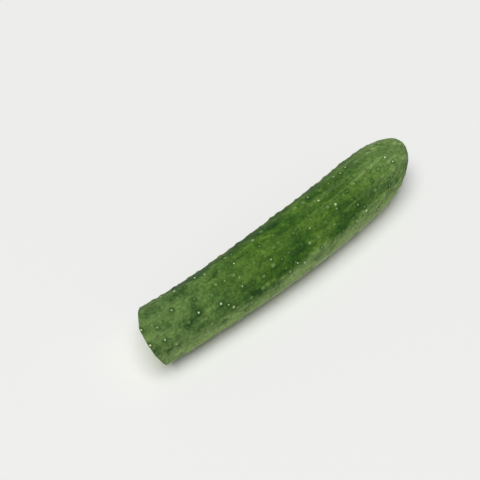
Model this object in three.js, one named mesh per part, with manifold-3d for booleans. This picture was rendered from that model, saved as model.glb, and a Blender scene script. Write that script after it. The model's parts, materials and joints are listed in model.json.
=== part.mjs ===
// The blossom half of a long warty cucumber, cut through on the slant and lying on its side.
// Millimetres. +X runs along the fruit towards the blossom end, +Z is up, and it lies on z = 0.
// The origin is on the floor, under the middle of the fruit's box.
// The fruit is first shaped straight, by its distance along the axis and its angle around it, then bent
// into its curve, and only then cut, so that the cut and the resting strip are truly flat.
import * as THREE from "three";
import { mergeVertices } from "three/addons/utils/BufferGeometryUtils.js";
import Module from "manifold-3d";

// Length and girth
const TIP_ALONG = 193; // from the middle of the cut to the blossom tip, along the axis
const CUT_RADIUS = 15.6;
const BELLY_RADIUS = 17.35;
const SWELL_ALONG = 10; // it is even up to here, then swells up to the belly
const BELLY_ALONG = 110;
const SHOULDER_ALONG = 145; // where the blossom end starts to round off
const SHOULDER_POWER = 2.5;
const TAIL_ALONG = -20; // the straight shape starts here, beyond the cut

// The curve of the whole fruit, and the blossom end's own small turn up and to the side
const BEND_SAG = 6.1;
const TIP_SIDE_SHIFT = 1.4;
const TIP_RISE = 3.0;
const TIP_SHIFT_POWER = 2.5;

// The cut was made in two strokes, which meet in a low ridge. The second one took off the far upper edge.
// Each has its distance along the fruit's axis, and how far it runs along the fruit for each millimetre
// to the side and down.
const CUT = { along: 0, slopeSide: 0.317, slopeDown: 0.458 };
const TRIM = { along: -4.84, slopeSide: 0.542, slopeDown: 0.131 };

// The ribs, each with its angle in degrees around the fruit from the +Y side, and its height
const RIBS = [
  { around: 24, height: 0.34 },
  { around: 64, height: 0.3 },
  { around: 104, height: 0.5 },
  { around: 131, height: 0.24 },
  { around: 157, height: 0.5 },
  { around: 195, height: 0.36 },
  { around: 231, height: 0.3 },
  { around: 268, height: 0.36 },
  { around: 304, height: 0.42 },
  { around: 343, height: 0.3 },
];
const RIB_HALF_WIDTH = 10; // degrees
const RIB_TWIST = 8; // degrees that the ribs turn from the cut to the blossom tip
const LOBE_COUNT = 3; // the section is very slightly three-sided
const LOBE_HEIGHT = 0.34;
const LOBE_ANGLE = 104;

// Long soft lumps, each from two crossing waves. A wave has a number of turns around the fruit, and a
// length along it for each radian.
const LUMP_HEIGHT = 0.1;
const LUMPS = [
  { turns: 4, length: 6.1, crossTurns: -3, crossLength: 9.7, shift: 1 },
  { turns: 7, length: -4.3, crossTurns: 2, crossLength: 5.2, shift: 0 },
];

// The warts stand in a close row on each rib and a sparse row in each furrow.
const RIB_WART_PITCH = 6.4;
const FURROW_WART_PITCH = 12.5;
const WART_JITTER_ALONG = 0.34; // of the row's pitch
const WART_JITTER_AROUND = 5; // degrees
const WART_FIRST_ALONG = -17;
const WART_LAST_ALONG = 184;
const WART_HEIGHT_LOW = 0.34;
const WART_HEIGHT_HIGH = 0.9;
const WART_HEIGHT_POWER = 1.5; // most are low
const FURROW_WART_SHARE = 0.7;
const TIP_WART_SHARE = 0.45;
const FLOOR_ANGLE = 270; // the line that the fruit lies on
const WART_BARE_ANGLE = 15; // none stand this close to it
const DRAW_SEED = 20260;
const DRAW_FACTOR = 1664525;
const DRAW_TERM = 1013904223;
const DRAW_RANGE = 2 ** 32;

// The blossom scar, and the flat strip that the fruit lies on
const SCAR_RADIUS = 2.6;
const SCAR_DEPTH = 0.5;
const SCAR_FLOOR_SHARE = 0.7;
const REST_SINK = 0.45;

// The three seed chambers show as shallow hollows in the cut, with flat seeds lying in them.
const CHAMBER_COUNT = 3;
const CHAMBER_ANGLE = 44;
const CHAMBER_CENTRE = 5.4;
const CHAMBER_HALF_DEPTH = 3.3;
const CHAMBER_HALF_WIDTH = 4.7;
const CHAMBER_SINK = 0.5;
const SEED_OFFSETS = [-46, -16, 15, 44]; // degrees either side of the chamber's middle
const SEED_CENTRE = 6.2;
const SEED_HALF_LENGTH = 1.9;
const SEED_HALF_WIDTH = 0.75;
const SEED_HALF_THICKNESS = 0.8;
const SEED_BELOW_CUT = 0.12;

// How finely the shapes are divided: every wart is one raised point of the skin's net.
const AROUND_STEPS = 60;
const ALONG_STEP = 2.35;
const PROFILE_DIVISIONS = 2000;
const CHAMBER_SEGMENTS = 16;
const SEED_SIDES = 8;
const SEED_RINGS = 5;
const SAME_POINT = 1e-3;
const BEYOND = 400; // the size of a block that reaches past the whole fruit

const SKIN_COLOUR = 0x3f6b2b;
const SKIN_ROUGHNESS = 0.45;

const { clamp, lerp, smoothstep, degToRad, radToDeg, euclideanModulo } = THREE.MathUtils;

const wasm = await Module();
wasm.setup();

// A small repeatable random draw from 0 to 1
let drawState = DRAW_SEED;
function draw() {
  drawState = (drawState * DRAW_FACTOR + DRAW_TERM) % DRAW_RANGE;
  return drawState / DRAW_RANGE;
}

// The turn from angle b to angle a, in degrees from -180 to 180
function turnBetween(a, b) {
  return euclideanModulo(a - b + 180, 360) - 180;
}

// The girth, without its relief

function trunkRadius(along) {
  return lerp(CUT_RADIUS, BELLY_RADIUS, smoothstep(along, SWELL_ALONG, BELLY_ALONG));
}

function shoulderShare(along) {
  return clamp((along - SHOULDER_ALONG) / (TIP_ALONG - SHOULDER_ALONG), 0, 1);
}

// 1 along the trunk, falling to 0 at the blossom tip
function roundOff(along) {
  return Math.sqrt(1 - shoulderShare(along) ** SHOULDER_POWER);
}

// The relief: ribs, the three-sided section and the lumps. It fades out at the blossom tip.
function relief(along, around) {
  const untwisted = around - (RIB_TWIST * along) / TIP_ALONG;
  let height = LOBE_HEIGHT * Math.cos(LOBE_COUNT * degToRad(untwisted - LOBE_ANGLE));
  for (const rib of RIBS) {
    height += rib.height * Math.exp(-((turnBetween(untwisted, rib.around) / RIB_HALF_WIDTH) ** 2));
  }
  const turn = degToRad(around);
  for (const lump of LUMPS) {
    const wave = Math.sin(lump.turns * turn + along / lump.length);
    height += LUMP_HEIGHT * wave * Math.sin(lump.crossTurns * turn + along / lump.crossLength + lump.shift);
  }
  return height * roundOff(along);
}

// The warts, each with its place and height

function wartRow(around, pitch, tallest) {
  const row = [];
  for (let station = WART_FIRST_ALONG + draw() * pitch; station < WART_LAST_ALONG; station += pitch) {
    const along = station + (draw() - 0.5) * 2 * WART_JITTER_ALONG * pitch;
    const twist = (RIB_TWIST * along) / TIP_ALONG;
    const place = around + twist + (draw() - 0.5) * 2 * WART_JITTER_AROUND;
    const height = lerp(WART_HEIGHT_LOW, tallest, draw() ** WART_HEIGHT_POWER);
    const smaller = lerp(1, TIP_WART_SHARE, shoulderShare(along));
    if (Math.abs(turnBetween(place, FLOOR_ANGLE)) > WART_BARE_ANGLE) {
      row.push({ along, around: place, height: height * smaller });
    }
  }
  return row;
}

function placeWarts() {
  return RIBS.flatMap((rib, i) => {
    const toNext = turnBetween(RIBS[(i + 1) % RIBS.length].around, rib.around);
    const furrow = rib.around + toNext / 2;
    const onRib = wartRow(rib.around, RIB_WART_PITCH, WART_HEIGHT_HIGH);
    return [...onRib, ...wartRow(furrow, FURROW_WART_PITCH, WART_HEIGHT_HIGH * FURROW_WART_SHARE)];
  });
}

// Solids from three.js geometry, and back

function solidOf(geometry) {
  const plain = new THREE.BufferGeometry();
  plain.setAttribute("position", geometry.getAttribute("position"));
  plain.setIndex(geometry.getIndex());
  const merged = mergeVertices(plain, SAME_POINT);
  const mesh = new wasm.Mesh({
    numProp: 3,
    vertProperties: merged.getAttribute("position").array,
    triVerts: new Uint32Array(merged.getIndex().array),
  });
  return new wasm.Manifold(mesh);
}

function geometryOf(solid) {
  const mesh = solid.getMesh();
  const geometry = new THREE.BufferGeometry();
  geometry.setAttribute("position", new THREE.BufferAttribute(mesh.vertProperties, mesh.numProp));
  geometry.setIndex(new THREE.BufferAttribute(mesh.triVerts, 1));
  return geometry;
}

// The straight fruit: a profile turned about its own axis into a net, then raised by its relief

// The profile from the tail to the rim of the blossom scar: half of it trunk, half of it shoulder
class FruitProfile extends THREE.Curve {
  getPoint(t, target = new THREE.Vector2()) {
    const rimShare = (1 - (SCAR_RADIUS / BELLY_RADIUS) ** 2) ** (1 / SHOULDER_POWER);
    const trunkAlong = lerp(TAIL_ALONG, SHOULDER_ALONG, clamp(t * 2, 0, 1));
    const onShoulder = Math.sin(clamp(t * 2 - 1, 0, 1) * Math.asin(rimShare));
    const along = trunkAlong + onShoulder * (TIP_ALONG - SHOULDER_ALONG);
    return target.set(trunkRadius(along) * roundOff(along), along);
  }
}

function netPoints() {
  const profile = new FruitProfile();
  profile.arcLengthDivisions = PROFILE_DIVISIONS;
  const steps = Math.round(profile.getLength() / ALONG_STEP);
  const skin = profile.getSpacedPoints(steps);
  const rim = skin[steps];
  return [
    new THREE.Vector2(0, TAIL_ALONG),
    ...skin,
    new THREE.Vector2(rim.x * SCAR_FLOOR_SHARE, rim.y - SCAR_DEPTH),
    new THREE.Vector2(0, rim.y - SCAR_DEPTH),
  ];
}

// The net's point nearest to each wart takes the wart's height. No wart stands on the scar's rim.
function wartHeights(points, rimRing) {
  const heights = new Map();
  for (const wart of placeWarts()) {
    let nearest = 1;
    for (let ring = 1; ring < rimRing; ring++) {
      if (Math.abs(points[ring].y - wart.along) < Math.abs(points[nearest].y - wart.along)) nearest = ring;
    }
    const column = Math.round(euclideanModulo(wart.around, 360) / (360 / AROUND_STEPS)) % AROUND_STEPS;
    heights.set(`${nearest},${column}`, wart.height);
  }
  return heights;
}

// A lathe turns about Y, so its Y becomes the distance along the fruit, which is X here.
function straightFruit() {
  const points = netPoints();
  const rimRing = points.length - 3;
  const heights = wartHeights(points, rimRing);
  const lathe = new THREE.LatheGeometry(points, AROUND_STEPS);
  const position = lathe.getAttribute("position");
  for (let i = 0; i < position.count; i++) {
    const column = Math.floor(i / points.length) % AROUND_STEPS;
    const ring = i % points.length;
    const along = points[ring].y;
    const turn = (column / AROUND_STEPS) * Math.PI * 2;
    const onSkin = ring > 0 && ring < rimRing;
    const raised = onSkin ? relief(along, radToDeg(turn)) + (heights.get(`${ring},${column}`) ?? 0) : 0;
    const radius = points[ring].x + raised;
    position.setXYZ(i, along, radius * Math.cos(turn), radius * Math.sin(turn));
  }
  return lathe;
}

// The bend: the axis becomes an arc, with its hollow side towards +Y

const bendRadius = TIP_ALONG ** 2 / (8 * BEND_SAG);
const bendMiddle = TIP_ALONG / 2;

function bendPoint(point) {
  const shift = shoulderShare(point.x) ** TIP_SHIFT_POWER;
  const side = point.y + TIP_SIDE_SHIFT * shift;
  const turn = (point.x - bendMiddle) / bendRadius;
  return point.set(
    bendMiddle + (bendRadius - side) * Math.sin(turn),
    bendRadius - (bendRadius - side) * Math.cos(turn),
    point.z + trunkRadius(point.x) + TIP_RISE * shift,
  );
}

function bentFruit() {
  const geometry = straightFruit();
  const position = geometry.getAttribute("position");
  const point = new THREE.Vector3();
  for (let i = 0; i < position.count; i++) {
    bendPoint(point.fromBufferAttribute(position, i));
    position.setXYZ(i, point.x, point.y, point.z);
  }
  return solidOf(geometry);
}

// The fruit's own directions at the middle of the cut, and a frame along them

const cutMiddle = bendPoint(new THREE.Vector3(0, 0, 0));
const cutTurn = -bendMiddle / bendRadius;
const forward = new THREE.Vector3(Math.cos(cutTurn), Math.sin(cutTurn), 0);
const side = new THREE.Vector3(-Math.sin(cutTurn), Math.cos(cutTurn), 0);
const up = new THREE.Vector3(0, 0, 1);
const fruitFrame = new THREE.Matrix4().makeBasis(forward, side, up).setPosition(cutMiddle);

// A frame square to one stroke of the knife, with X out of the fruit
function strokeFrame(stroke) {
  const outward = forward
    .clone()
    .negate()
    .addScaledVector(side, stroke.slopeSide)
    .addScaledVector(up, -stroke.slopeDown)
    .normalize();
  const across = new THREE.Vector3().crossVectors(up, outward).normalize();
  const upTheCut = new THREE.Vector3().crossVectors(outward, across);
  const middle = cutMiddle.clone().addScaledVector(forward, stroke.along);
  return new THREE.Matrix4().makeBasis(outward, across, upTheCut).setPosition(middle);
}

// A wide block that lies square to a stroke, from one distance outward of it to another
function blockAtStroke(stroke, from, to) {
  const block = new THREE.BoxGeometry(to - from, BEYOND, BEYOND);
  return solidOf(block.translate((from + to) / 2, 0, 0).applyMatrix4(strokeFrame(stroke)));
}

// The chambers run along the fruit, so the slanted cut draws them out as it does the skin.
function chamberSolid(angle) {
  const outline = new THREE.Shape();
  outline.absellipse(CHAMBER_CENTRE, 0, CHAMBER_HALF_DEPTH, CHAMBER_HALF_WIDTH, 0, Math.PI * 2);
  const settings = { depth: BEYOND, bevelEnabled: false, curveSegments: CHAMBER_SEGMENTS };
  const tube = new THREE.ExtrudeGeometry(outline, settings);
  tube.translate(0, 0, -BEYOND / 2).rotateZ(degToRad(angle));
  // The outline's X, Y and Z become the fruit's side, up and forward.
  const axes = new THREE.Matrix4().set(0, 0, 1, 0, 1, 0, 0, 0, 0, 1, 0, 0, 0, 0, 0, 1);
  return solidOf(tube.applyMatrix4(axes).applyMatrix4(fruitFrame));
}

// A seed lies in the cut, pointing away from the fruit's middle.
function seedSolid(angle) {
  const place = new THREE.Vector3(0, Math.cos(degToRad(angle)), Math.sin(degToRad(angle)));
  place.multiplyScalar(SEED_CENTRE);
  place.x = CUT.slopeSide * place.y - CUT.slopeDown * place.z;
  const cutFrame = strokeFrame(CUT);
  const inCut = place.applyMatrix4(fruitFrame).applyMatrix4(cutFrame.clone().invert());
  const seed = new THREE.SphereGeometry(1, SEED_SIDES, SEED_RINGS);
  seed.scale(SEED_HALF_THICKNESS, SEED_HALF_LENGTH, SEED_HALF_WIDTH);
  seed.rotateX(Math.atan2(inCut.z, inCut.y));
  seed.translate(-SEED_HALF_THICKNESS - SEED_BELOW_CUT, inCut.y, inCut.z);
  return solidOf(seed.applyMatrix4(cutFrame));
}

function cutFruit() {
  let solid = bentFruit().subtract(blockAtStroke(CUT, 0, BEYOND)).subtract(blockAtStroke(TRIM, 0, BEYOND));
  const skinOfCut = blockAtStroke(CUT, -CHAMBER_SINK, 1);
  for (let i = 0; i < CHAMBER_COUNT; i++) {
    const angle = CHAMBER_ANGLE + (i * 360) / CHAMBER_COUNT;
    solid = solid.subtract(chamberSolid(angle).intersect(skinOfCut));
    for (const offset of SEED_OFFSETS) solid = solid.add(seedSolid(angle + offset));
  }
  return solid;
}

// Takes off what lies below the resting height, then moves the fruit over the origin
function restOnFloor(solid) {
  const floor = solid.boundingBox().min[2] + REST_SINK;
  const below = new THREE.BoxGeometry(BEYOND, BEYOND, BEYOND).translate(bendMiddle, 0, floor - BEYOND / 2);
  const rested = solid.subtract(solidOf(below));
  const { min, max } = rested.boundingBox();
  return geometryOf(rested).translate(-(min[0] + max[0]) / 2, -(min[1] + max[1]) / 2, -floor);
}

const skin = new THREE.MeshStandardMaterial({
  color: SKIN_COLOUR,
  roughness: SKIN_ROUGHNESS,
  metalness: 0,
});
const cucumber = new THREE.Mesh(restOnFloor(cutFruit()), skin);
cucumber.name = "cucumber";

const part = new THREE.Group();
part.add(cucumber);
export default part;
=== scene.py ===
# %% [markdown]
# # The blossom half of a long warty cucumber
# The cucumber lies on its side, cut through on the slant. The solid model has its size, its bend and its
# cut. This script shapes the same fruit more finely, and gives it the skin, the flesh and the light.
# The frame comes first, because every piece is placed by it. It is in metres, with +X along the fruit
# towards the blossom end and +Z up.

# %% The frame
import json
import math

import bmesh
import bpy
import numpy as np
from mathutils import Matrix, Vector, noise


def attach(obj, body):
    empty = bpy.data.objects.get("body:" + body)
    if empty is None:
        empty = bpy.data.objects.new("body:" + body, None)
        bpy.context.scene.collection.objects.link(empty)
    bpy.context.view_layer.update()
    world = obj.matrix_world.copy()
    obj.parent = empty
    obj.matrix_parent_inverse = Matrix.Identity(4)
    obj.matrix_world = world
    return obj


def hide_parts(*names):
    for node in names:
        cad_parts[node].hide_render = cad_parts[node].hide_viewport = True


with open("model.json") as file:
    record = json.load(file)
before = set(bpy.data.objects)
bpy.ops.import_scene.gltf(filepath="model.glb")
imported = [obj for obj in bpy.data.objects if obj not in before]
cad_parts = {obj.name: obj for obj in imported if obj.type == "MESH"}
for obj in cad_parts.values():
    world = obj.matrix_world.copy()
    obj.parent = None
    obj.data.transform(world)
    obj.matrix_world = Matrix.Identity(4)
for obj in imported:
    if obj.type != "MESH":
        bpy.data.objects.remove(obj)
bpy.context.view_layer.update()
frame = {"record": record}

MM = 0.001

# %% [markdown]
# ## The camera
# A product photograph of food is often taken from half a metre or so and looks well down, here at about 49
# degrees. That distance, with a long lens, keeps the near end from swelling. The camera could be aimed by
# hand, but a few numbers that say where it looks, from which side and from how far are easier to correct.

# %% The camera
LOOK_AT = Vector((-16.14, 18.16, 18.24)) * MM
VIEW_AZIMUTH = math.radians(-43.83)
VIEW_ELEVATION = math.radians(49)
VIEW_DISTANCE = 569.2 * MM
LENS = 78.75  # mm
SENSOR_WIDTH = 36  # mm


def camera_at_photo_angle():
    level = math.cos(VIEW_ELEVATION)
    back = Vector((
        math.sin(VIEW_AZIMUTH) * level,
        -math.cos(VIEW_AZIMUTH) * level,
        math.sin(VIEW_ELEVATION),
    ))
    data = bpy.data.cameras.new("camera")
    data.lens = LENS
    data.sensor_width = SENSOR_WIDTH
    data.clip_start = 0.01
    data.clip_end = 20
    camera = bpy.data.objects.new("camera", data)
    camera.location = LOOK_AT + back * VIEW_DISTANCE
    camera.rotation_mode = "QUATERNION"
    camera.rotation_quaternion = (-back).to_track_quat("-Z", "Y")
    bpy.context.scene.collection.objects.link(camera)
    bpy.context.scene.camera = camera
    return camera


camera = camera_at_photo_angle()
print("camera at, mm:", [round(v / MM) for v in camera.location])

# %% [markdown]
# ## The fruit's shape as a few rules
# A cucumber is nearly a straight tube with a rounded end, then bent a little. Modelling it by hand would
# give one cucumber. Rules for its girth, its ribs and its bend give the same one as the solid model, and
# each number can be changed. All of them are in millimetres and degrees: `along` is the distance from the
# cut, and `around` is the angle around the fruit from its +Y side.

# %% Driving dimensions
TIP_ALONG = 193
TAIL_ALONG = -20
CUT_RADIUS = 15.6
BELLY_RADIUS = 17.35
SWELL_ALONG = 10
BELLY_ALONG = 110
SHOULDER_ALONG = 145
SHOULDER_POWER = 2.5
RIBS = [
    (24, 0.34),
    (64, 0.3),
    (104, 0.5),
    (131, 0.24),
    (157, 0.5),
    (195, 0.36),
    (231, 0.3),
    (268, 0.36),
    (304, 0.42),
    (343, 0.3),
]  # each rib's angle around the fruit, and its height
RIB_HALF_WIDTH = 10
RIB_TWIST = 8
LOBE_COUNT = 3
LOBE_HEIGHT = 0.34
LOBE_ANGLE = 104
LUMP_HEIGHT = 0.1
LUMPS = [
    (4, 6.1, -3, 9.7, 1),
    (7, -4.3, 2, 5.2, 0),
]  # two crossing waves each: turns and length of the first, turns, length and shift of the second


# %% Girth and relief
def turn_between(a, b):
    return (a - b + 180) % 360 - 180


def smooth(value, low, high):
    share = np.clip((value - low) / (high - low), 0, 1)
    return share * share * (3 - 2 * share)


def trunk_radius(along):
    return CUT_RADIUS + (BELLY_RADIUS - CUT_RADIUS) * smooth(along, SWELL_ALONG, BELLY_ALONG)


def shoulder_share(along):
    return np.clip((along - SHOULDER_ALONG) / (TIP_ALONG - SHOULDER_ALONG), 0, 1)


def round_off(along):
    return np.sqrt(1 - shoulder_share(along) ** SHOULDER_POWER)


def ribs(along, around):
    untwisted = around - RIB_TWIST * along / TIP_ALONG
    height = LOBE_HEIGHT * np.cos(LOBE_COUNT * np.radians(untwisted - LOBE_ANGLE))
    for rib_angle, rib_height in RIBS:
        off = turn_between(untwisted, rib_angle) / RIB_HALF_WIDTH
        height = height + rib_height * np.exp(-(off**2))
    return height


def lumps(along, around):
    turn = np.radians(around)
    height = 0
    for turns, length, cross_turns, cross_length, shift in LUMPS:
        wave = np.sin(turns * turn + along / length)
        height = height + wave * np.sin(cross_turns * turn + along / cross_length + shift)
    return LUMP_HEIGHT * height


print("radius at the cut and the belly, mm:", float(trunk_radius(0)), float(trunk_radius(BELLY_ALONG)))

# %% [markdown]
# ## The bend, and the cut's place in the frame
# The axis becomes an arc, and the blossom end turns a little up and aside. Bending comes last, so that every
# other rule can think of a straight fruit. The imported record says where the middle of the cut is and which
# way it faces, so the shape is carried there.

# %% The bend
BEND_SAG = 6.1
BEND_RADIUS = TIP_ALONG**2 / (8 * BEND_SAG)
BEND_MIDDLE = TIP_ALONG / 2
TIP_SIDE_SHIFT = 1.4
TIP_RISE = 3.0
TIP_SHIFT_POWER = 2.5


def bent(points):
    along, side, up = points[..., 0], points[..., 1], points[..., 2]
    shift = shoulder_share(along) ** TIP_SHIFT_POWER
    side = side + TIP_SIDE_SHIFT * shift
    turn = (along - BEND_MIDDLE) / BEND_RADIUS
    x = BEND_MIDDLE + (BEND_RADIUS - side) * np.sin(turn)
    y = BEND_RADIUS - (BEND_RADIUS - side) * np.cos(turn)
    z = up + trunk_radius(along) + TIP_RISE * shift
    return np.stack([x, y, z], axis=-1)


cut_mount = next(mount for mount in frame["record"]["mounts"] if mount["name"] == "cut_face")
CUT_MIDDLE = Vector(cut_mount["pos_m"])
CUT_OUTWARD = Vector(cut_mount["axis"]).normalized()
TO_FRAME = np.array(CUT_MIDDLE) / MM - bent(np.zeros(3))


def in_frame(points):
    return (bent(points) + TO_FRAME) * MM


cut_turn = -BEND_MIDDLE / BEND_RADIUS
FRUIT_FORWARD = Vector((math.cos(cut_turn), math.sin(cut_turn), 0))
FRUIT_SIDE = Vector((-math.sin(cut_turn), math.cos(cut_turn), 0))
FRUIT_UP = Vector((0, 0, 1))
print("the cut leans by", round(math.degrees(CUT_OUTWARD.angle(-FRUIT_FORWARD)), 1), "degrees")

# %% [markdown]
# ## Two strokes of the knife
# The cut was made in two strokes. The second one took off the far upper edge, and a low ridge is left where
# the two meet. It could be one flat face, but the corner shows in the outline. Any place can be moved along
# the fruit onto the stroke that reaches further in, and the peel and the flesh both use this.

# %% The two strokes
TRIM_ALONG = -4.84
TRIM_SLOPE_SIDE = 0.542  # how far it runs along the fruit for each millimetre to the side
TRIM_SLOPE_DOWN = 0.131
TRIM_MIDDLE = CUT_MIDDLE + FRUIT_FORWARD * TRIM_ALONG * MM
TRIM_OUTWARD = (FRUIT_SIDE * TRIM_SLOPE_SIDE - FRUIT_UP * TRIM_SLOPE_DOWN - FRUIT_FORWARD).normalized()
STROKES = [(CUT_MIDDLE, CUT_OUTWARD), (TRIM_MIDDLE, TRIM_OUTWARD)]


def slid_onto(place, middle, outward):
    """The place moved along the fruit onto this plane"""
    return place + FRUIT_FORWARD * ((middle - place).dot(outward) / FRUIT_FORWARD.dot(outward))


def onto_cut(place):
    """The place moved along the fruit onto the stroke that reaches further in"""
    return max((slid_onto(place, *stroke) for stroke in STROKES), key=FRUIT_FORWARD.dot)


print("angle over the ridge:", round(math.degrees(CUT_OUTWARD.angle(TRIM_OUTWARD)), 1), "degrees")

# %% [markdown]
# ## Where the warts stand
# Each wart grew where a spine stood on the young fruit. They stand in rows on the ribs, with fewer in the
# furrows. Scattering them by hand would take an hour, and a fixed chain of draws gives the same places
# each time, here and in the solid model.

# %% Wart places
RIB_WART_PITCH = 6.4
FURROW_WART_PITCH = 12.5
WART_JITTER_ALONG = 0.34  # of the row's pitch
WART_JITTER_AROUND = 5  # degrees
WART_FIRST_ALONG = -17
WART_LAST_ALONG = 184
WART_HEIGHT_LOW = 0.34
WART_HEIGHT_HIGH = 0.9
WART_HEIGHT_POWER = 1.5
FURROW_WART_SHARE = 0.7
TIP_WART_SHARE = 0.45
FLOOR_ANGLE = 270
WART_BARE_ANGLE = 15
DRAW_SEED = 20260
DRAW_FACTOR = 1664525
DRAW_TERM = 1013904223
DRAW_RANGE = 2**32


class Draws:
    """A small repeatable chain of random draws from 0 to 1"""

    def __init__(self, seed):
        self.state = seed

    def next(self):
        self.state = (self.state * DRAW_FACTOR + DRAW_TERM) % DRAW_RANGE
        return self.state / DRAW_RANGE


def wart_row(draws, around, pitch, tallest):
    row = []
    station = WART_FIRST_ALONG + draws.next() * pitch
    while station < WART_LAST_ALONG:
        along = station + (draws.next() - 0.5) * 2 * WART_JITTER_ALONG * pitch
        twist = RIB_TWIST * along / TIP_ALONG
        place = around + twist + (draws.next() - 0.5) * 2 * WART_JITTER_AROUND
        height = WART_HEIGHT_LOW + (tallest - WART_HEIGHT_LOW) * draws.next() ** WART_HEIGHT_POWER
        smaller = 1 - (1 - TIP_WART_SHARE) * float(shoulder_share(along))
        if abs(turn_between(place, FLOOR_ANGLE)) > WART_BARE_ANGLE:
            row.append((along, place, height * smaller))
        station += pitch
    return row


def place_warts():
    draws = Draws(DRAW_SEED)
    warts = []
    furrow_height = WART_HEIGHT_HIGH * FURROW_WART_SHARE
    for i, (rib_angle, _) in enumerate(RIBS):
        to_next = turn_between(RIBS[(i + 1) % len(RIBS)][0], rib_angle)
        warts += wart_row(draws, rib_angle, RIB_WART_PITCH, WART_HEIGHT_HIGH)
        warts += wart_row(draws, rib_angle + to_next / 2, FURROW_WART_PITCH, furrow_height)
    return warts


warts = place_warts()
print("warts:", len(warts), "tallest, mm:", round(max(height for _, _, height in warts), 2))

# %% [markdown]
# ## Which warts keep a pale tip
# Washing and packing rub the spines off, and a pale corky dot is left on some of the warts. A second chain
# of draws picks them, so that the first one stays in step with the solid model. It also picks the tips that
# get a ring of painted shade round them.

# %% Pale tips, and rings of painted shade
TIP_SHARE = 0.46
TIP_SIZE_LOW = 0.22
TIP_SIZE_HIGH = 0.66
TIP_SIZE_POWER = 2.0
SHADE_RING_SHARE = 0.55


def pick_tips():
    draws = Draws(DRAW_SEED + 1)
    tips = []
    for along, around, height in warts:
        picked = draws.next() < TIP_SHARE
        size = TIP_SIZE_LOW + (TIP_SIZE_HIGH - TIP_SIZE_LOW) * draws.next() ** TIP_SIZE_POWER
        shade_ringed = draws.next() < SHADE_RING_SHARE
        if picked:
            tips.append((along, around, height, size, shade_ringed))
    return tips


tips = pick_tips()
print("pale tips:", len(tips))

# %% [markdown]
# ## The peel
# The peel is one skin from the cut to the blossom end. A lathe shape is the natural start: a profile spun
# about the axis gives even faces. The ribs, warts and lumps are then real shape, because low light and the
# outline show them. Each point keeps its straight place, so that the colours can follow the fruit.

# %% Spinning the profile
AROUND_STEPS = 190
ALONG_STEP = 0.62
PROFILE_POINTS = 2000
SAME_POINT = 1e-4


def profile():
    trunk = np.linspace(TAIL_ALONG, SHOULDER_ALONG, PROFILE_POINTS)
    quarter_turn = np.linspace(0, np.pi / 2, PROFILE_POINTS)[1:]
    round_end = SHOULDER_ALONG + (TIP_ALONG - SHOULDER_ALONG) * np.sin(quarter_turn)
    along = np.concatenate([trunk, round_end])
    radius = trunk_radius(along) * round_off(along)
    length = np.concatenate([[0], np.cumsum(np.hypot(np.diff(along), np.diff(radius)))])
    even = np.linspace(0, length[-1], int(length[-1] / ALONG_STEP))
    return np.interp(even, length, along), np.interp(even, length, radius)


def spun_fruit():
    shape = bmesh.new()
    stations, radii = profile()
    spine = [shape.verts.new((along, radius, 0)) for along, radius in zip(stations, radii)]
    spine[-1].co.y = 0
    for a, b in zip(spine, spine[1:]):
        shape.edges.new((a, b))
    bmesh.ops.spin(
        shape,
        geom=shape.verts[:] + shape.edges[:],
        cent=(0, 0, 0),
        axis=(1, 0, 0),
        angle=math.tau,
        steps=AROUND_STEPS,
        use_merge=True,
    )
    bmesh.ops.remove_doubles(shape, verts=shape.verts, dist=SAME_POINT)
    return shape


peel_shape = spun_fruit()
print("spun profile:", len(peel_shape.verts), "points,", len(peel_shape.faces), "faces")

# %% Domes for the warts
WART_RADIUS_LOW = 1.45
WART_RADIUS_HIGH = 2.3
WART_STRETCH = 1.2
DOME_SHARE = 0.66  # of the wart's height in the solid, where it is one raised point
DOME_POWER = 2.2
# The pale on each wart's top is a painted highlight for the light its dome catches.
HIGHLIGHT_NARROWING = 2.6  # the pale crown's area goes into the wart's this many times
HIGHLIGHT_LEAST = 0.35  # how pale the smallest wart's crown is, against the largest one's


def wart_domes(along, around, bare):
    """Each place's height on a wart, and its share in the painted highlight on the wart's top"""
    height = np.zeros(len(along))
    highlight = np.zeros(len(along))
    for wart_along, wart_around, wart_height in warts:
        share = max((wart_height - WART_HEIGHT_LOW) / (WART_HEIGHT_HIGH - WART_HEIGHT_LOW), 0)
        radius = WART_RADIUS_LOW + (WART_RADIUS_HIGH - WART_RADIUS_LOW) * share
        near = np.flatnonzero(np.abs(along - wart_along) < radius * WART_STRETCH)
        arc = np.radians(turn_between(around[near], wart_around)) * bare[near]
        off = ((along[near] - wart_along) / (radius * WART_STRETCH)) ** 2 + (arc / radius) ** 2
        dome = DOME_SHARE * wart_height * np.clip(1 - off, 0, 1) ** DOME_POWER
        height[near] = np.maximum(height[near], dome)
        paleness = HIGHLIGHT_LEAST + (1 - HIGHLIGHT_LEAST) * share
        highlight[near] = np.maximum(highlight[near], paleness * np.clip(1 - HIGHLIGHT_NARROWING * off, 0, 1))
    return height, highlight


# %% Rings of painted shade round some of the tips
SHADE_RING_RADIUS = 1.5
SHADE_RING_REACH = 4.5


# Painted shade: a darker ring round some tips, where a wart's dome would shade the skin beside it.
def painted_shade_rings(along, around, bare):
    ring = np.zeros(len(along))
    for tip_along, tip_around, _, size, shade_ringed in tips:
        if shade_ringed:
            near = np.flatnonzero(np.abs(along - tip_along) < SHADE_RING_REACH)
            arc = np.radians(turn_between(around[near], tip_around)) * bare[near]
            off = np.hypot(along[near] - tip_along, arc)
            ring[near] = np.maximum(ring[near], np.exp(-(((off - size) / SHADE_RING_RADIUS) ** 2)))
    return ring


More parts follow.
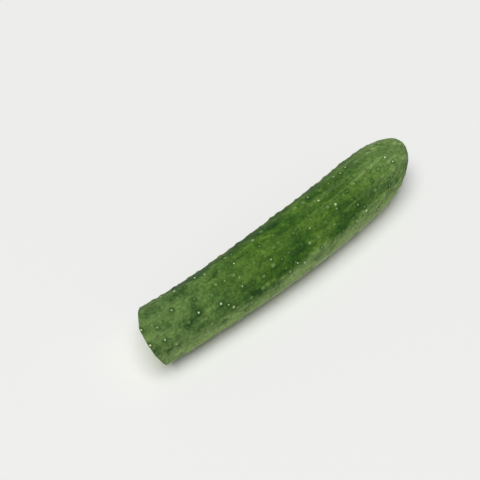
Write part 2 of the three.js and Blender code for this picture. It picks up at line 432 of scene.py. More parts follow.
# %% Raising the skin, with a dimple for the blossom's scar
GRAIN_HEIGHT = 0.12
GRAIN_SIZE = 2.3
SCAR_RADIUS = 2.6
SCAR_DEPTH = 0.5
SCAR_STAIN = 1.5  # its brown reaches this far, in scar radii
SKIN_RAISE = 0.2  # the domes are lower than the solid's raised points, and the skin between is fuller
RIM_SHARE = (1 - (SCAR_RADIUS / BELLY_RADIUS) ** 2) ** (1 / SHOULDER_POWER)
SCAR_RIM_ALONG = SHOULDER_ALONG + (TIP_ALONG - SHOULDER_ALONG) * RIM_SHARE


def keep_layers(shape, straight, layers):
    where = shape.verts.layers.float_vector.new("straight")
    for vert, place in zip(shape.verts, straight):
        vert[where] = place
    for name, values in layers.items():
        layer = shape.verts.layers.float.new(name)
        for vert, value in zip(shape.verts, values):
            vert[layer] = value


def raise_skin(shape):
    straight = np.array([vert.co for vert in shape.verts])
    along = straight[:, 0]
    bare = np.hypot(straight[:, 1], straight[:, 2])
    around = np.degrees(np.arctan2(straight[:, 2], straight[:, 1])) % 360
    fade = round_off(along)
    domes, highlights = wart_domes(along, around, bare)
    rib_relief = ribs(along, around)
    grain = np.array([noise.noise(Vector(place) / GRAIN_SIZE) for place in straight])
    relief = (rib_relief + lumps(along, around) + GRAIN_HEIGHT * grain) * fade + domes + SKIN_RAISE
    radius = np.maximum(bare + relief * np.clip(bare / SCAR_RADIUS, 0, 1), 0)
    at_blossom = along > BELLY_ALONG
    in_scar = np.clip(1 - (bare / SCAR_RADIUS) ** 2, 0, 1) * at_blossom
    dimpled = np.minimum(along, SCAR_RIM_ALONG) - SCAR_DEPTH * np.sqrt(in_scar)
    turn = np.radians(around)
    placed = np.stack([dimpled, radius * np.cos(turn), radius * np.sin(turn)], axis=-1)
    # The highlight and ring layers hold painted highlight and painted shade for the warts' relief.
    layers = {
        "highlight": highlights,
        "ring": painted_shade_rings(along, around, bare),
        "crest": rib_relief * fade,
        "scar": np.clip(SCAR_STAIN - bare / SCAR_RADIUS, 0, 1) * at_blossom,
    }
    keep_layers(shape, placed, layers)
    for vert, place in zip(shape.verts, in_frame(placed)):
        vert.co = place
        vert.co.z = max(vert.co.z, 0)


raise_skin(peel_shape)
print("skin raised, highest point, mm:", round(max(vert.co.z for vert in peel_shape.verts) / MM, 2))

# %% [markdown]
# ## The cut in the peel
# Bisecting the mesh with the plane of each stroke does what the knife did. The peel then turns in by its own
# thickness and down into a flat seat, where the flesh lies, so both pieces are closed.

# %% Rings that follow the cut
PEEL_SHARE = 0.965  # the peel's inner edge, as a share of the way out from the middle


def edges_between(verts):
    chosen = set(verts)
    edges = {edge for vert in verts for edge in vert.link_edges}
    return [edge for edge in edges if all(vert in chosen for vert in edge.verts)]


def ring_inward(shape, edges, share):
    """Adds a ring of faces from these edges towards the middle of the cut, and gives its inner edges"""
    made = bmesh.ops.extrude_edge_only(shape, edges=edges)["geom"]
    inner_verts = [item for item in made if isinstance(item, bmesh.types.BMVert)]
    bmesh.ops.scale(shape, vec=(share,) * 3, space=Matrix.Translation(-CUT_MIDDLE), verts=inner_verts)
    for vert in inner_verts:
        vert.co = onto_cut(vert.co)
    return edges_between(inner_verts)


def close_below(shape, edges, depth):
    """Adds a wall from these edges down to a flat bottom, this deep in the cut"""
    made = bmesh.ops.extrude_edge_only(shape, edges=edges)["geom"]
    lower_verts = [item for item in made if isinstance(item, bmesh.types.BMVert)]
    for vert in lower_verts:
        vert.co = slid_onto(vert.co, CUT_MIDDLE - CUT_OUTWARD * depth, CUT_OUTWARD)
    bmesh.ops.contextual_create(shape, geom=edges_between(lower_verts))
    bmesh.ops.recalc_face_normals(shape, faces=shape.faces)


# %% Cutting the peel and turning in its edge
SEAT_DEPTH = 3 * MM
ON_PLANE = 0.02 * MM


def copy_of(edges):
    """A new shape with a copy of these edges"""
    shape = bmesh.new()
    copies = {}
    for edge in edges:
        for vert in edge.verts:
            if vert not in copies:
                copies[vert] = shape.verts.new(vert.co)
        shape.edges.new([copies[vert] for vert in edge.verts])
    return shape


def cut_peel(shape):
    for middle, outward in STROKES:
        bmesh.ops.bisect_plane(
            shape,
            geom=shape.verts[:] + shape.edges[:] + shape.faces[:],
            dist=ON_PLANE,
            plane_co=middle,
            plane_no=outward,
            clear_outer=True,
        )
    rim = [edge for edge in shape.edges if edge.is_boundary]
    inner_edges = ring_inward(shape, rim, PEEL_SHARE)
    for edge in rim + inner_edges:
        edge.smooth = False
    inner_ring = copy_of(inner_edges)
    close_below(shape, inner_edges, SEAT_DEPTH)
    return inner_ring


flesh_shape = cut_peel(peel_shape)
open_edges = sum(edge.is_boundary for edge in peel_shape.edges)
print("peel:", len(peel_shape.faces), "faces, open edges:", open_edges)


# %% Making a mesh into a piece
def piece_from(shape, name):
    mesh = bpy.data.meshes.new(name)
    shape.to_mesh(mesh)
    shape.free()
    piece = bpy.data.objects.new(name, mesh)
    bpy.context.scene.collection.objects.link(piece)
    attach(piece, "root")
    for face in mesh.polygons:
        face.use_smooth = True
    mesh.calc_loop_triangles()
    print(name, "has", len(mesh.loop_triangles), "triangles")
    return piece


peel = piece_from(peel_shape, "peel")
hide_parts("cucumber")

# %% [markdown]
# ## The flesh in the cut
# The cut face is pale and nearly flat. Three seed chambers meet at the middle, a little lower than the firm
# flesh round them. Rings drawn in from the peel's edge give enough points to sink the chambers, and one more
# bisect along the ridge keeps it crisp.

# %% The seed chambers
CHAMBER_COUNT = 3
CHAMBER_ANGLE = 44
CHAMBER_CENTRE = 5.4
CHAMBER_HALF_DEPTH = 3.3
CHAMBER_HALF_WIDTH = 4.7
CHAMBER_SINK = 0.5
CHAMBER_EDGE = 0.35  # the share of the way in from its edge where a chamber is fully sunk
SUTURE_WIDTH = 0.5
SUTURE_FROM = 1.5
SUTURE_TO = 9.5


def across_fruit(place):
    """A place in the cut, in mm to the fruit's side and up, square to its axis"""
    off = (place - CUT_MIDDLE) / MM
    return off.dot(FRUIT_SIDE), off.dot(FRUIT_UP)


def chamber_share(side, up):
    """1 in the middle of a seed chamber, 0 at its edge and outside it"""
    best = 0
    for i in range(CHAMBER_COUNT):
        angle = math.radians(CHAMBER_ANGLE + i * 360 / CHAMBER_COUNT)
        outward = side * math.cos(angle) + up * math.sin(angle)
        sideways = up * math.cos(angle) - side * math.sin(angle)
        off = ((outward - CHAMBER_CENTRE) / CHAMBER_HALF_DEPTH) ** 2 + (sideways / CHAMBER_HALF_WIDTH) ** 2
        best = max(best, 1 - off)
    return best


def suture_share(side, up):
    """1 on the three lines that part the chambers, falling to 0 beside them"""
    best = 0
    for i in range(CHAMBER_COUNT):
        angle = math.radians(CHAMBER_ANGLE + (i + 0.5) * 360 / CHAMBER_COUNT)
        outward = side * math.cos(angle) + up * math.sin(angle)
        sideways = up * math.cos(angle) - side * math.sin(angle)
        if SUTURE_FROM < outward < SUTURE_TO:
            best = max(best, math.exp(-((sideways / SUTURE_WIDTH) ** 2)))
    return best


print("share in the middle of a chamber:", round(chamber_share(*across_fruit(CUT_MIDDLE)), 2))

# %% The flesh
FLESH_RINGS = 26
FLESH_GAP = 0.9985
FLESH_MIDDLE_SHARE = 0.03
FLESH_BELOW_RIM = 0.06
FLESH_UNEVEN = 0.05
FLESH_UNEVEN_SIZE = 2.5
FLESH_DEPTH_SHARE = 0.95  # of the seat's depth


def crease_ridge(shape):
    """Adds a sharp edge where the strokes meet, and gives its distance from the middle"""
    cut_slope = CUT_OUTWARD / FRUIT_FORWARD.dot(CUT_OUTWARD)
    trim_slope = TRIM_OUTWARD / FRUIT_FORWARD.dot(TRIM_OUTWARD)
    gain = cut_slope - trim_slope  # how much further in the trim reaches for each step across
    reach = -TRIM_ALONG * MM / gain.length
    made = bmesh.ops.bisect_plane(
        shape,
        geom=shape.verts[:] + shape.edges[:] + shape.faces[:],
        dist=ON_PLANE,
        plane_co=CUT_MIDDLE + gain.normalized() * reach,
        plane_no=gain.normalized(),
    )
    for item in made["geom_cut"]:
        if isinstance(item, bmesh.types.BMEdge):
            item.smooth = False
    return reach


def flesh_disc(shape):
    across = shape.verts.layers.float_vector.new("across")
    suture = shape.verts.layers.float.new("suture")
    edges = shape.edges[:]
    bmesh.ops.scale(shape, vec=(FLESH_GAP,) * 3, space=Matrix.Translation(-CUT_MIDDLE), verts=shape.verts)
    sizes = np.linspace(1, FLESH_MIDDLE_SHARE, FLESH_RINGS + 1)
    for size, next_size in zip(sizes, sizes[1:]):
        edges = ring_inward(shape, edges, next_size / size)
    middle = bmesh.ops.contextual_create(shape, geom=edges)["faces"]
    bmesh.ops.poke(shape, faces=middle)
    reach = crease_ridge(shape)
    for vert in shape.verts:
        side, up = across_fruit(vert.co)
        share = max(chamber_share(side, up), 0)
        vert[across] = (side, up, share)
        vert[suture] = suture_share(side, up)
        uneven = FLESH_UNEVEN * noise.noise(Vector((side, up, 0)) / FLESH_UNEVEN_SIZE)
        sink = CHAMBER_SINK * float(smooth(share, 0, CHAMBER_EDGE)) + FLESH_BELOW_RIM + uneven
        vert.co = onto_cut(vert.co) - CUT_OUTWARD * sink * MM
    outer_edges = [edge for edge in shape.edges if edge.is_boundary]
    close_below(shape, outer_edges, SEAT_DEPTH * FLESH_DEPTH_SHARE)
    print("the ridge is", round(reach / MM, 1), "mm from the middle")


flesh_disc(flesh_shape)
print("flesh open edges:", sum(edge.is_boundary for edge in flesh_shape.edges))
flesh = piece_from(flesh_shape, "cut_flesh")

# %% [markdown]
# ## The seeds
# Young seeds are flat, pale and pointed towards the middle. Each is a stretched sphere, because only its
# upper side shows in the cut.

# %% The seeds
SEED_OFFSETS = [-46, -16, 15, 44]
SEED_CENTRE = 6.2
SEED_HALF_LENGTH = 1.9
SEED_HALF_WIDTH = 0.75
SEED_HALF_THICKNESS = 0.8
SEED_BELOW_CUT = 0.12
SEED_TAPER = 0.35


def seed_frame(angle):
    """A frame in the cut with X outward of it and Y pointing away from the fruit's middle"""
    turn = math.radians(angle)
    straight_out = FRUIT_SIDE * math.cos(turn) + FRUIT_UP * math.sin(turn)
    place = slid_onto(CUT_MIDDLE + straight_out * SEED_CENTRE * MM, CUT_MIDDLE, CUT_OUTWARD)
    long_way = (place - CUT_MIDDLE).normalized()
    flat_way = CUT_OUTWARD.cross(long_way)
    turned = Matrix((CUT_OUTWARD, long_way, flat_way)).transposed().to_4x4()
    place -= CUT_OUTWARD * (SEED_HALF_THICKNESS + SEED_BELOW_CUT) * MM
    return Matrix.Translation(place) @ turned


def seeds_in_chambers():
    shape = bmesh.new()
    for i in range(CHAMBER_COUNT):
        for offset in SEED_OFFSETS:
            made = bmesh.ops.create_uvsphere(shape, u_segments=16, v_segments=10, radius=1)["verts"]
            for vert in made:
                vert.co.z *= 1 + SEED_TAPER * vert.co.y
            size = Vector((SEED_HALF_THICKNESS, SEED_HALF_LENGTH, SEED_HALF_WIDTH)) * MM
            bmesh.ops.scale(shape, vec=size, verts=made)
            angle = CHAMBER_ANGLE + i * 360 / CHAMBER_COUNT + offset
            bmesh.ops.transform(shape, matrix=seed_frame(angle), verts=made)
    bmesh.ops.recalc_face_normals(shape, faces=shape.faces)
    return shape


seeds = piece_from(seeds_in_chambers(), "seeds")

# %% [markdown]
# ## The pale tips
# Each tip is a corky dot half a millimetre or so across, on the top of its wart. It could be a spot of
# colour, but a bead keeps a clean edge at this size and catches its own light.

# %% The pale tips
TIP_FLATNESS = 0.45
TIP_SINK = 0.1
TIP_STEP_ALONG = 1
TIP_STEP_AROUND = 3


def skin_place(along, around, out):
    turn = math.radians(around)
    relief = (ribs(along, around) + lumps(along, around)) * round_off(along)
    radius = float(trunk_radius(along) * round_off(along) + relief + out)
    return Vector(in_frame(np.array([along, radius * math.cos(turn), radius * math.sin(turn)])))


def outward_of_skin(along, around):
    ahead = skin_place(along + TIP_STEP_ALONG, around, 0) - skin_place(along - TIP_STEP_ALONG, around, 0)
    beside = skin_place(along, around + TIP_STEP_AROUND, 0) - skin_place(along, around - TIP_STEP_AROUND, 0)
    return beside.cross(ahead).normalized()


def tips_on_warts():
    shape = bmesh.new()
    for along, around, height, size, _ in tips:
        top = skin_place(along, around, DOME_SHARE * height + SKIN_RAISE)
        cut_off = any((top - middle).dot(outward) > -size * MM for middle, outward in STROKES)
        if cut_off or top.z < size * MM:
            continue
        out = outward_of_skin(along, around)
        turned = out.to_track_quat("Z", "Y").to_matrix().to_4x4()
        made = bmesh.ops.create_uvsphere(shape, u_segments=8, v_segments=6, radius=size * MM)["verts"]
        bmesh.ops.scale(shape, vec=(1, 1, TIP_FLATNESS), verts=made)
        place = Matrix.Translation(top - out * TIP_SINK * MM)
        bmesh.ops.transform(shape, matrix=place @ turned, verts=made)
    bmesh.ops.recalc_face_normals(shape, faces=shape.faces)
    return shape


pale_tips = piece_from(tips_on_warts(), "pale_tips")

# %% [markdown]
# ## Materials: the helpers
# Colours are written as the eye sees them, in sRGB hex, and the renderer wants linear light. One function
# turns them. One more adds a node, sets it up and links it.


# %% Helpers for materials
def linear(hex_colour):
    parts = [int(hex_colour[i : i + 2], 16) / 255 for i in (1, 3, 5)]
    return [*(c / 12.92 if c <= 0.04045 else ((c + 0.055) / 1.055) ** 2.4 for c in parts), 1]


def add_node(tree, kind, settings, inputs):
    """Adds a node. Each input takes a value, or another node's output to be linked from."""
    node = tree.nodes.new(kind)
    for name, value in settings.items():
        setattr(node, name, value)
    for name, value in inputs.items():
        if isinstance(value, bpy.types.NodeSocket):
            tree.links.new(value, node.inputs[name])
        else:
            node.inputs[name].default_value = value
    return node


def new_material(name):
    material = bpy.data.materials.new(name)
    material.use_nodes = True
    material.node_tree.nodes.clear()
    return material, material.node_tree


SOFT = {"interpolation_type": "SMOOTHSTEP"}
COLOURS = {"data_type": "RGBA"}
COLOURS_TIMES = {"data_type": "RGBA", "blend_type": "MULTIPLY"}
TIMES = {"operation": "MULTIPLY"}
print("mid grey in linear light:", [round(c, 3) for c in linear("#808080")])

# %% [markdown]
# ## Cucumber skin
# The skin is living peel under a thin dull wax. It isn't one green: deep and olive patches lie along it,
# the ribs are lighter than the furrows, and fine pale streaks gather at the blossom end. Light is painted
# into it too: a painted highlight on the warts' tops with a ring of painted shade round some of them, a
# painted greyish sheen near the cut, and a painted reflection of the white floor that makes the low side
# paler. One flat green would look like plastic, and a painted picture would stretch over the round end.
# Noise made in the skin's straight place, in mm, follows the bend and has the same grain everywhere.

# %% Waxy cucumber peel: greens and mottling
PEEL_DEEP = "#264b1d"
PEEL_MID = "#3b611c"
PEEL_OLIVE = "#5c802d"
PEEL_PALE = "#8ba665"
PEEL_SHEEN = "#7b9160"
PEEL_REFLECTED_FLOOR = "#b9c39e"
SCAR_BROWN = "#8d866a"
PATCH_LENGTH = 16
PATCH_WIDTH = 7
MOTTLE_SIZE = 1.8
MOTTLE_CONTRAST = 0.68


def skin_greens(tree, place):
    """Long patches from deep green to olive"""
    patch_scale = (1 / PATCH_LENGTH, 1 / PATCH_WIDTH, 1 / PATCH_WIDTH)
    patch_place = add_node(tree, "ShaderNodeMapping", {}, {"Vector": place, "Scale": patch_scale})
    patches = add_node(
        tree,
        "ShaderNodeTexNoise",
        {},
        {"Vector": patch_place.outputs["Vector"], "Scale": 1, "Detail": 5, "Roughness": 0.68},
    )
    ramp = add_node(tree, "ShaderNodeValToRGB", {}, {"Fac": patches.outputs["Fac"]})
    stops = ramp.color_ramp.elements
    stops[0].position = 0.37
    stops[0].color = linear(PEEL_DEEP)
    stops[1].position = 0.65
    stops[1].color = linear(PEEL_OLIVE)
    stops.new(0.5).color = linear(PEEL_MID)
    return ramp.outputs["Color"], patches.outputs["Fac"]


def fine_mottling(tree, place):
    """Its noise, and how much it darkens or lightens the greens"""
    mottle = add_node(
        tree,
        "ShaderNodeTexNoise",
        {},
        {"Vector": place, "Scale": 1 / MOTTLE_SIZE, "Detail": 7, "Roughness": 0.85},
    )
    change = add_node(
        tree,
        "ShaderNodeMapRange",
        {},
        {
            "Value": mottle.outputs["Fac"],
            "From Min": 0.3,
            "From Max": 0.7,
            "To Min": 1 - MOTTLE_CONTRAST,
            "To Max": 1 + MOTTLE_CONTRAST,
        },
    )
    return mottle.outputs["Fac"], change.outputs["Result"]


# %% Waxy cucumber peel: streaks, and a painted sheen
STREAK_LENGTH = 40
STREAK_WIDTH = 2.1
STREAKS_FROM = 90
STREAKS_FULL = 170
PALE_END_FROM = 120
PALE_END_FULL = 187
PALE_END_SHARE = 0.42
SHEEN_FROM = 75
SHEEN_FULL = -5
SHEEN_LEAST = 0.06
SHEEN_MOST = 0.5


def streaks_at_blossom(tree, place, along):
    """Pale streaks that gather towards the blossom end, which is paler as a whole"""
    scale = (1 / STREAK_LENGTH, 1 / STREAK_WIDTH, 1 / STREAK_WIDTH)
    streak_place = add_node(tree, "ShaderNodeMapping", {}, {"Vector": place, "Scale": scale})
    streaks = add_node(
        tree, "ShaderNodeTexNoise", {}, {"Vector": streak_place.outputs["Vector"], "Scale": 1, "Detail": 3}
    )
    streaked = add_node(
        tree,
        "ShaderNodeMapRange",
        SOFT,
        {"Value": streaks.outputs["Fac"], "From Min": 0.47, "From Max": 0.75},
    )
    near_blossom = add_node(
        tree, "ShaderNodeMapRange", SOFT, {"Value": along, "From Min": STREAKS_FROM, "From Max": STREAKS_FULL}
    )
    paler_end = add_node(
        tree,
        "ShaderNodeMapRange",
        SOFT,
        {"Value": along, "From Min": PALE_END_FROM, "From Max": PALE_END_FULL, "To Max": PALE_END_SHARE},
    )
    share = add_node(
        tree,
        "ShaderNodeMath",
        {"operation": "MULTIPLY_ADD"},
        {
            0: streaked.outputs["Result"],
            1: near_blossom.outputs["Result"],
            2: paler_end.outputs["Result"],
        },
    )
    return share.outputs[0]


def painted_sheen_near_cut(tree, along, patches):
    """A painted sheen: a greyish wash, strongest near the cut and spread in patches"""
    near_cut = add_node(
        tree,
        "ShaderNodeMapRange",
        SOFT,
        {
            "Value": along,
            "From Min": SHEEN_FROM,
            "From Max": SHEEN_FULL,
            "To Min": SHEEN_LEAST,
            "To Max": SHEEN_MOST,
        },
    )
    spotty = add_node(tree, "ShaderNodeMapRange", SOFT, {"Value": patches, "From Min": 0.25, "From Max": 0.6})
    share = add_node(
        tree, "ShaderNodeMath", TIMES, {0: near_cut.outputs["Result"], 1: spotty.outputs["Result"]}
    )
    return share.outputs[0]


# %% Waxy cucumber peel: painted reflection of the white floor on the low side
REFLECTION_ANGLE = 197
REFLECTION_RAGGED = 0.5
REFLECTION_FADE = 0.0004  # for each millimetre towards the blossom end
REFLECTION_FROM = 0.7
REFLECTION_FULL = 0.96
REFLECTION_SHARE = 0.95
UNDER_ANGLE = 235
UNDER_FROM = 0.7
UNDER_FULL = 0.92
UNDER_SHARE = 0.7


def toward_side(tree, place, angle, fade):
    """How far a place lies to this side of the fruit: about 1 on the skin there"""
    turn = math.radians(angle)
    direction = (-fade, math.cos(turn) / BELLY_RADIUS, math.sin(turn) / BELLY_RADIUS)
    toward = add_node(
        tree, "ShaderNodeVectorMath", {"operation": "DOT_PRODUCT"}, {0: place, 1: direction}
    )
    return toward.outputs["Value"]


def painted_floor_reflection(tree, place, patches):
    """Painted reflection of the white floor: paler towards the low side, with a ragged edge that follows the
    patches
    """
    toward = toward_side(tree, place, REFLECTION_ANGLE, REFLECTION_FADE)
    ragged = add_node(
        tree,
        "ShaderNodeMath",
        {"operation": "MULTIPLY_ADD"},
        {0: patches, 1: REFLECTION_RAGGED, 2: -REFLECTION_RAGGED / 2},
    )
    both = add_node(tree, "ShaderNodeMath", {}, {0: toward, 1: ragged.outputs[0]})
    share = add_node(
        tree,
        "ShaderNodeMapRange",
        SOFT,
        {
            "Value": both.outputs[0],
            "From Min": REFLECTION_FROM,
            "From Max": REFLECTION_FULL,
            "To Max": REFLECTION_SHARE,
        },
    )
    return share.outputs["Result"]


def painted_reflection_underneath(tree, place):
    """Painted reflection of the white floor, palest low on that side"""
    toward = toward_side(tree, place, UNDER_ANGLE, 0)
    share = add_node(
        tree,
        "ShaderNodeMapRange",
        SOFT,
        {"Value": toward, "From Min": UNDER_FROM, "From Max": UNDER_FULL, "To Max": UNDER_SHARE},
    )
    return share.outputs["Result"]



# %% Waxy cucumber peel: what grew on it, and painted light and shade on the warts
def growth_marks_and_wart_light(tree):
    """Shares from 0 to 1 from the shape: rib crests, rings of painted shade, warts' painted highlights and
    the scar
    """
    ranges = {
        "crest": (0.1, 0.9, 0.4),
        "ring": (0, 1, 0.65),
        "highlight": (0.1, 0.9, 0.6),
        "scar": (0.1, 0.8, 0.9),
    }  # where each one starts to show, where it is full, and the most that it covers
    shares = {}
    for name, (low, high, most) in ranges.items():
        layer = add_node(tree, "ShaderNodeAttribute", {"attribute_name": name}, {})
        rise = add_node(
            tree,
            "ShaderNodeMapRange",
            SOFT,
            {"Value": layer.outputs["Fac"], "From Min": low, "From Max": high, "To Max": most},
        )
        shares[name] = rise.outputs["Result"]
    return shares


# %% Waxy cucumber peel: the relief of the wax
WAX_CELL_SIZE = 0.45  # the real cells are ten times finer, so they are drawn as coarse as they need to show
WAX_LUMP_DEPTH = 0.5
WAX_CELL_DEPTH = 0.1


def wax_relief(tree, place, mottle):
    """The wax lies unevenly. Lumps as wide as the mottling, and small cells, keep its shine soft."""
    lumpy = add_node(
        tree, "ShaderNodeBump", {}, {"Height": mottle, "Strength": 0.6, "Distance": WAX_LUMP_DEPTH * MM}
    )
    cells = add_node(
        tree, "ShaderNodeTexNoise", {}, {"Vector": place, "Scale": 1 / WAX_CELL_SIZE, "Detail": 2}
    )
    relief = add_node(
        tree,
        "ShaderNodeBump",
        {},
        {
            "Height": cells.outputs["Fac"],
            "Strength": 0.35,
            "Distance": WAX_CELL_DEPTH * MM,
            "Normal": lumpy.outputs["Normal"],
        },
    )
    return relief.outputs["Normal"]


# %% Waxy cucumber peel: laying the colours over each other
def waxy_peel():
    material, tree = new_material("waxy_cucumber_peel")
    straight = add_node(tree, "ShaderNodeAttribute", {"attribute_name": "straight"}, {})
    place = straight.outputs["Vector"]
    along = add_node(tree, "ShaderNodeSeparateXYZ", {}, {"Vector": place}).outputs["X"]
    colour, patches = skin_greens(tree, place)
    mottle, mottling = fine_mottling(tree, place)
    shape_marks = growth_marks_and_wart_light(tree)
    coats = [
        ("MIX", shape_marks["crest"], linear(PEEL_OLIVE)),
        ("MIX", streaks_at_blossom(tree, place, along), linear(PEEL_PALE)),
        # Painted sheen near the cut
        ("MIX", painted_sheen_near_cut(tree, along, patches), linear(PEEL_SHEEN)),
        # Painted reflection of the white floor on the low side, palest underneath
        ("MIX", painted_floor_reflection(tree, place, patches), linear(PEEL_PALE)),
        ("MIX", painted_reflection_underneath(tree, place), linear(PEEL_REFLECTED_FLOOR)),
        ("MIX", shape_marks["scar"], linear(SCAR_BROWN)),
        ("MULTIPLY", 1.0, mottling),
        # Painted shade round some warts, then a painted highlight on their tops
        ("MIX", shape_marks["ring"], linear(PEEL_DEEP)),
        ("MIX", shape_marks["highlight"], linear(PEEL_PALE)),
    ]
    for blend, share, tint in coats:
        settings = {"data_type": "RGBA", "blend_type": blend}
        coat = add_node(tree, "ShaderNodeMix", settings, {0: share, 6: colour, 7: tint})
        colour = coat.outputs[2]
    wax = add_node(
        tree,
        "ShaderNodeMapRange",
        {},
        {"Value": patches, "From Min": 0.3, "From Max": 0.7, "To Min": 0.45, "To Max": 0.6},
    )
    shader = add_node(
        tree,
        "ShaderNodeBsdfPrincipled",
        {},
        {
            "Base Color": colour,
            "Roughness": wax.outputs["Result"],
            "IOR": 1.45,
            "Specular IOR Level": 0.04,
            "Normal": wax_relief(tree, place, mottle),
        },
    )
    add_node(tree, "ShaderNodeOutputMaterial", {}, {"Surface": shader.outputs["BSDF"]})
    print("peel material:", len(tree.nodes), "nodes")
    return material


peel.data.materials.append(waxy_peel())

# %% [markdown]
# ## Wet cucumber flesh
# Fresh flesh is nine tenths water, so light goes into it and comes back pale green. It is greenest under
# the peel, nearly white in the firm wall and clearer in the seed chambers. A faint green line runs round
# the core, where the fruit's veins are cut.

# %% Wet flesh: its zones
FLESH_GREEN = "#a3c26c"
FLESH_PALE = "#dfe8bd"
FLESH_CHAMBER = "#b3c479"
FLESH_VEIN = "#b3c984"
FLESH_SUTURE = "#eef1d6"
GREEN_WIDTH = 3.2  # the green under the peel fades out over this
GREEN_FULL = 0.4  # and is at its full this close to the peel
CORE_RADIUS = 10.2
VEIN_WIDTH = 1.3


def flesh_zones(tree, out, in_chamber, in_suture):
    """The colours from the peel to the middle"""
    under_peel = add_node(
        tree,
        "ShaderNodeMapRange",
        SOFT,
        {"Value": out, "From Min": CUT_RADIUS - GREEN_WIDTH, "From Max": CUT_RADIUS - GREEN_FULL},
    )
    from_core = add_node(tree, "ShaderNodeMath", {"operation": "SUBTRACT"}, {0: out, 1: CORE_RADIUS})
    off_core = add_node(tree, "ShaderNodeMath", {"operation": "ABSOLUTE"}, {0: from_core.outputs[0]})
    vein = add_node(
        tree,
        "ShaderNodeMapRange",
        SOFT,
        {"Value": off_core.outputs[0], "From Min": VEIN_WIDTH, "From Max": 0, "To Max": 0.45},
    )
    suture = add_node(tree, "ShaderNodeMath", TIMES, {0: in_suture, 1: 0.6})
    chamber = add_node(
        tree,
        "ShaderNodeMapRange",
        SOFT,
        {"Value": in_chamber, "From Min": 0, "From Max": 0.7, "To Max": 0.8},
    )
    colour = linear(FLESH_PALE)
    coats = [
        (under_peel.outputs["Result"], FLESH_GREEN),
        (vein.outputs["Result"], FLESH_VEIN),
        (suture.outputs[0], FLESH_SUTURE),
        (chamber.outputs["Result"], FLESH_CHAMBER),
    ]
    for share, hex_colour in coats:
        coat = add_node(tree, "ShaderNodeMix", COLOURS, {0: share, 6: colour, 7: linear(hex_colour)})
        colour = coat.outputs[2]
    return colour


# %% Wet flesh: fibres and shine
FIBRE_SIZE = 1.0
FIBRE_DEPTH = 0.15


def wet_flesh():
    material, tree = new_material("wet_cucumber_flesh")
    across = add_node(tree, "ShaderNodeAttribute", {"attribute_name": "across"}, {})
    split = add_node(tree, "ShaderNodeSeparateXYZ", {}, {"Vector": across.outputs["Vector"]})
    flat = add_node(
        tree, "ShaderNodeCombineXYZ", {}, {"X": split.outputs["X"], "Y": split.outputs["Y"]}
    )
    out = add_node(tree, "ShaderNodeVectorMath", {"operation": "LENGTH"}, {0: flat.outputs["Vector"]})
    suture = add_node(tree, "ShaderNodeAttribute", {"attribute_name": "suture"}, {})
    zones = flesh_zones(tree, out.outputs["Value"], split.outputs["Z"], suture.outputs["Fac"])
    fibres = add_node(
        tree,
        "ShaderNodeTexNoise",
        {},
        {"Vector": flat.outputs["Vector"], "Scale": 1 / FIBRE_SIZE, "Detail": 4, "Roughness": 0.65},
    )
    fibre_share = add_node(
        tree,
        "ShaderNodeMapRange",
        {},
        {"Value": fibres.outputs["Fac"], "From Min": 0.3, "From Max": 0.7, "To Min": 0.88, "To Max": 1.08},
    )
    coloured = add_node(
        tree, "ShaderNodeMix", COLOURS_TIMES, {0: 1.0, 6: zones, 7: fibre_share.outputs["Result"]}
    )
    relief = add_node(
        tree,
        "ShaderNodeBump",
        {},
        {"Height": fibres.outputs["Fac"], "Strength": 0.3, "Distance": FIBRE_DEPTH * MM},
    )
    shader = add_node(
        tree,
        "ShaderNodeBsdfPrincipled",
        {},
        {
            "Base Color": coloured.outputs[2],
            "Roughness": 0.3,
            "IOR": 1.36,
            "Subsurface Weight": 0.25,
            "Subsurface Radius": (0.9, 1.2, 0.5),
            "Subsurface Scale": 1.5 * MM,
            "Normal": relief.outputs["Normal"],
        },
    )
    add_node(tree, "ShaderNodeOutputMaterial", {}, {"Surface": shader.outputs["BSDF"]})
    print("flesh material:", len(tree.nodes), "nodes")
    return material


flesh.data.materials.append(wet_flesh())

# %% [markdown]
# ## Soft seeds and corky tips
# Young seeds are ivory and damp. A tip is dry cork, pale yellow green and quite matt.


# %% Seeds and tips
def soft_grain(name, pale, deep, size, roughness):
    """A pale plant tissue with a grain of this size in mm"""
    material, tree = new_material(name)
    place = add_node(tree, "ShaderNodeTexCoord", {}, {})
    speckle = add_node(
        tree,
        "ShaderNodeTexNoise",
        {},
        {"Vector": place.outputs["Object"], "Scale": 1 / (size * MM), "Detail": 2},
    )
    share = add_node(
        tree, "ShaderNodeMapRange", {}, {"Value": speckle.outputs["Fac"], "From Min": 0.35, "From Max": 0.65}
    )
    coloured = add_node(
        tree, "ShaderNodeMix", COLOURS, {0: share.outputs["Result"], 6: linear(deep), 7: linear(pale)}
    )
    shader = add_node(
        tree,
        "ShaderNodeBsdfPrincipled",
        {},
        {"Base Color": coloured.outputs[2], "Roughness": roughness, "IOR": 1.45},
    )
    add_node(tree, "ShaderNodeOutputMaterial", {}, {"Surface": shader.outputs["BSDF"]})
    return material


seeds.data.materials.append(soft_grain("damp_young_seed", "#f0f1d4", "#dbe0b0", 0.8, 0.35))
pale_tips.data.materials.append(soft_grain("corky_wart_tip", "#e6efc8", "#93aa66", 2.5, 0.7))

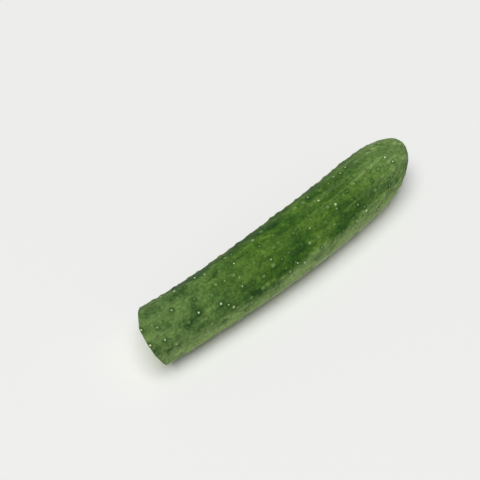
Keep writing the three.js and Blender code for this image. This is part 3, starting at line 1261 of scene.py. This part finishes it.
# %% [markdown]
# ## The floor and the light
# The cucumber lies on a white surface under soft light from above, as on a light table. The floor is wide
# enough to have no edge in view. A broad lamp overhead gives the wax its sheen, and a dim white world
# fills the shadows.

# %% The floor
FLOOR_SIZE = 6.0


def white_floor():
    shape = bmesh.new()
    bmesh.ops.create_grid(shape, x_segments=1, y_segments=1, size=FLOOR_SIZE / 2)
    mesh = bpy.data.meshes.new("floor")
    shape.to_mesh(mesh)
    shape.free()
    floor = bpy.data.objects.new("floor", mesh)
    bpy.context.scene.collection.objects.link(floor)
    material, tree = new_material("white_card")
    shader = add_node(
        tree, "ShaderNodeBsdfPrincipled", {}, {"Base Color": linear("#f1f1f0"), "Roughness": 0.6}
    )
    add_node(tree, "ShaderNodeOutputMaterial", {}, {"Surface": shader.outputs["BSDF"]})
    mesh.materials.append(material)
    return floor


white_floor()


# %% The light
LAMP_DIRECTION = Vector((-0.25, -0.1, 1.1))
LAMP_SPREAD = 50  # degrees: how wide it is in the sky
LAMP_POWER = 2.5
ROOM_LIGHT = 0.21


def lamp_overhead():
    """A lamp so far off that it lights the whole floor evenly"""
    data = bpy.data.lights.new("lamp_overhead", "SUN")
    data.angle = math.radians(LAMP_SPREAD)
    data.energy = LAMP_POWER
    lamp = bpy.data.objects.new("lamp_overhead", data)
    lamp.location = LAMP_DIRECTION
    lamp.rotation_mode = "QUATERNION"
    lamp.rotation_quaternion = (-LAMP_DIRECTION).to_track_quat("-Z", "Y")
    bpy.context.scene.collection.objects.link(lamp)


def white_room():
    world = bpy.data.worlds.new("white_room")
    world.use_nodes = True
    tree = world.node_tree
    tree.nodes.clear()
    sky = add_node(tree, "ShaderNodeBackground", {}, {"Color": (1, 1, 1, 1), "Strength": ROOM_LIGHT})
    add_node(tree, "ShaderNodeOutputWorld", {}, {"Surface": sky.outputs["Background"]})
    bpy.context.scene.world = world


lamp_overhead()
white_room()
bpy.context.scene.view_settings.view_transform = "Standard"
bpy.context.scene.view_settings.look = "None"
print("lights:", [light.name for light in bpy.data.lights])
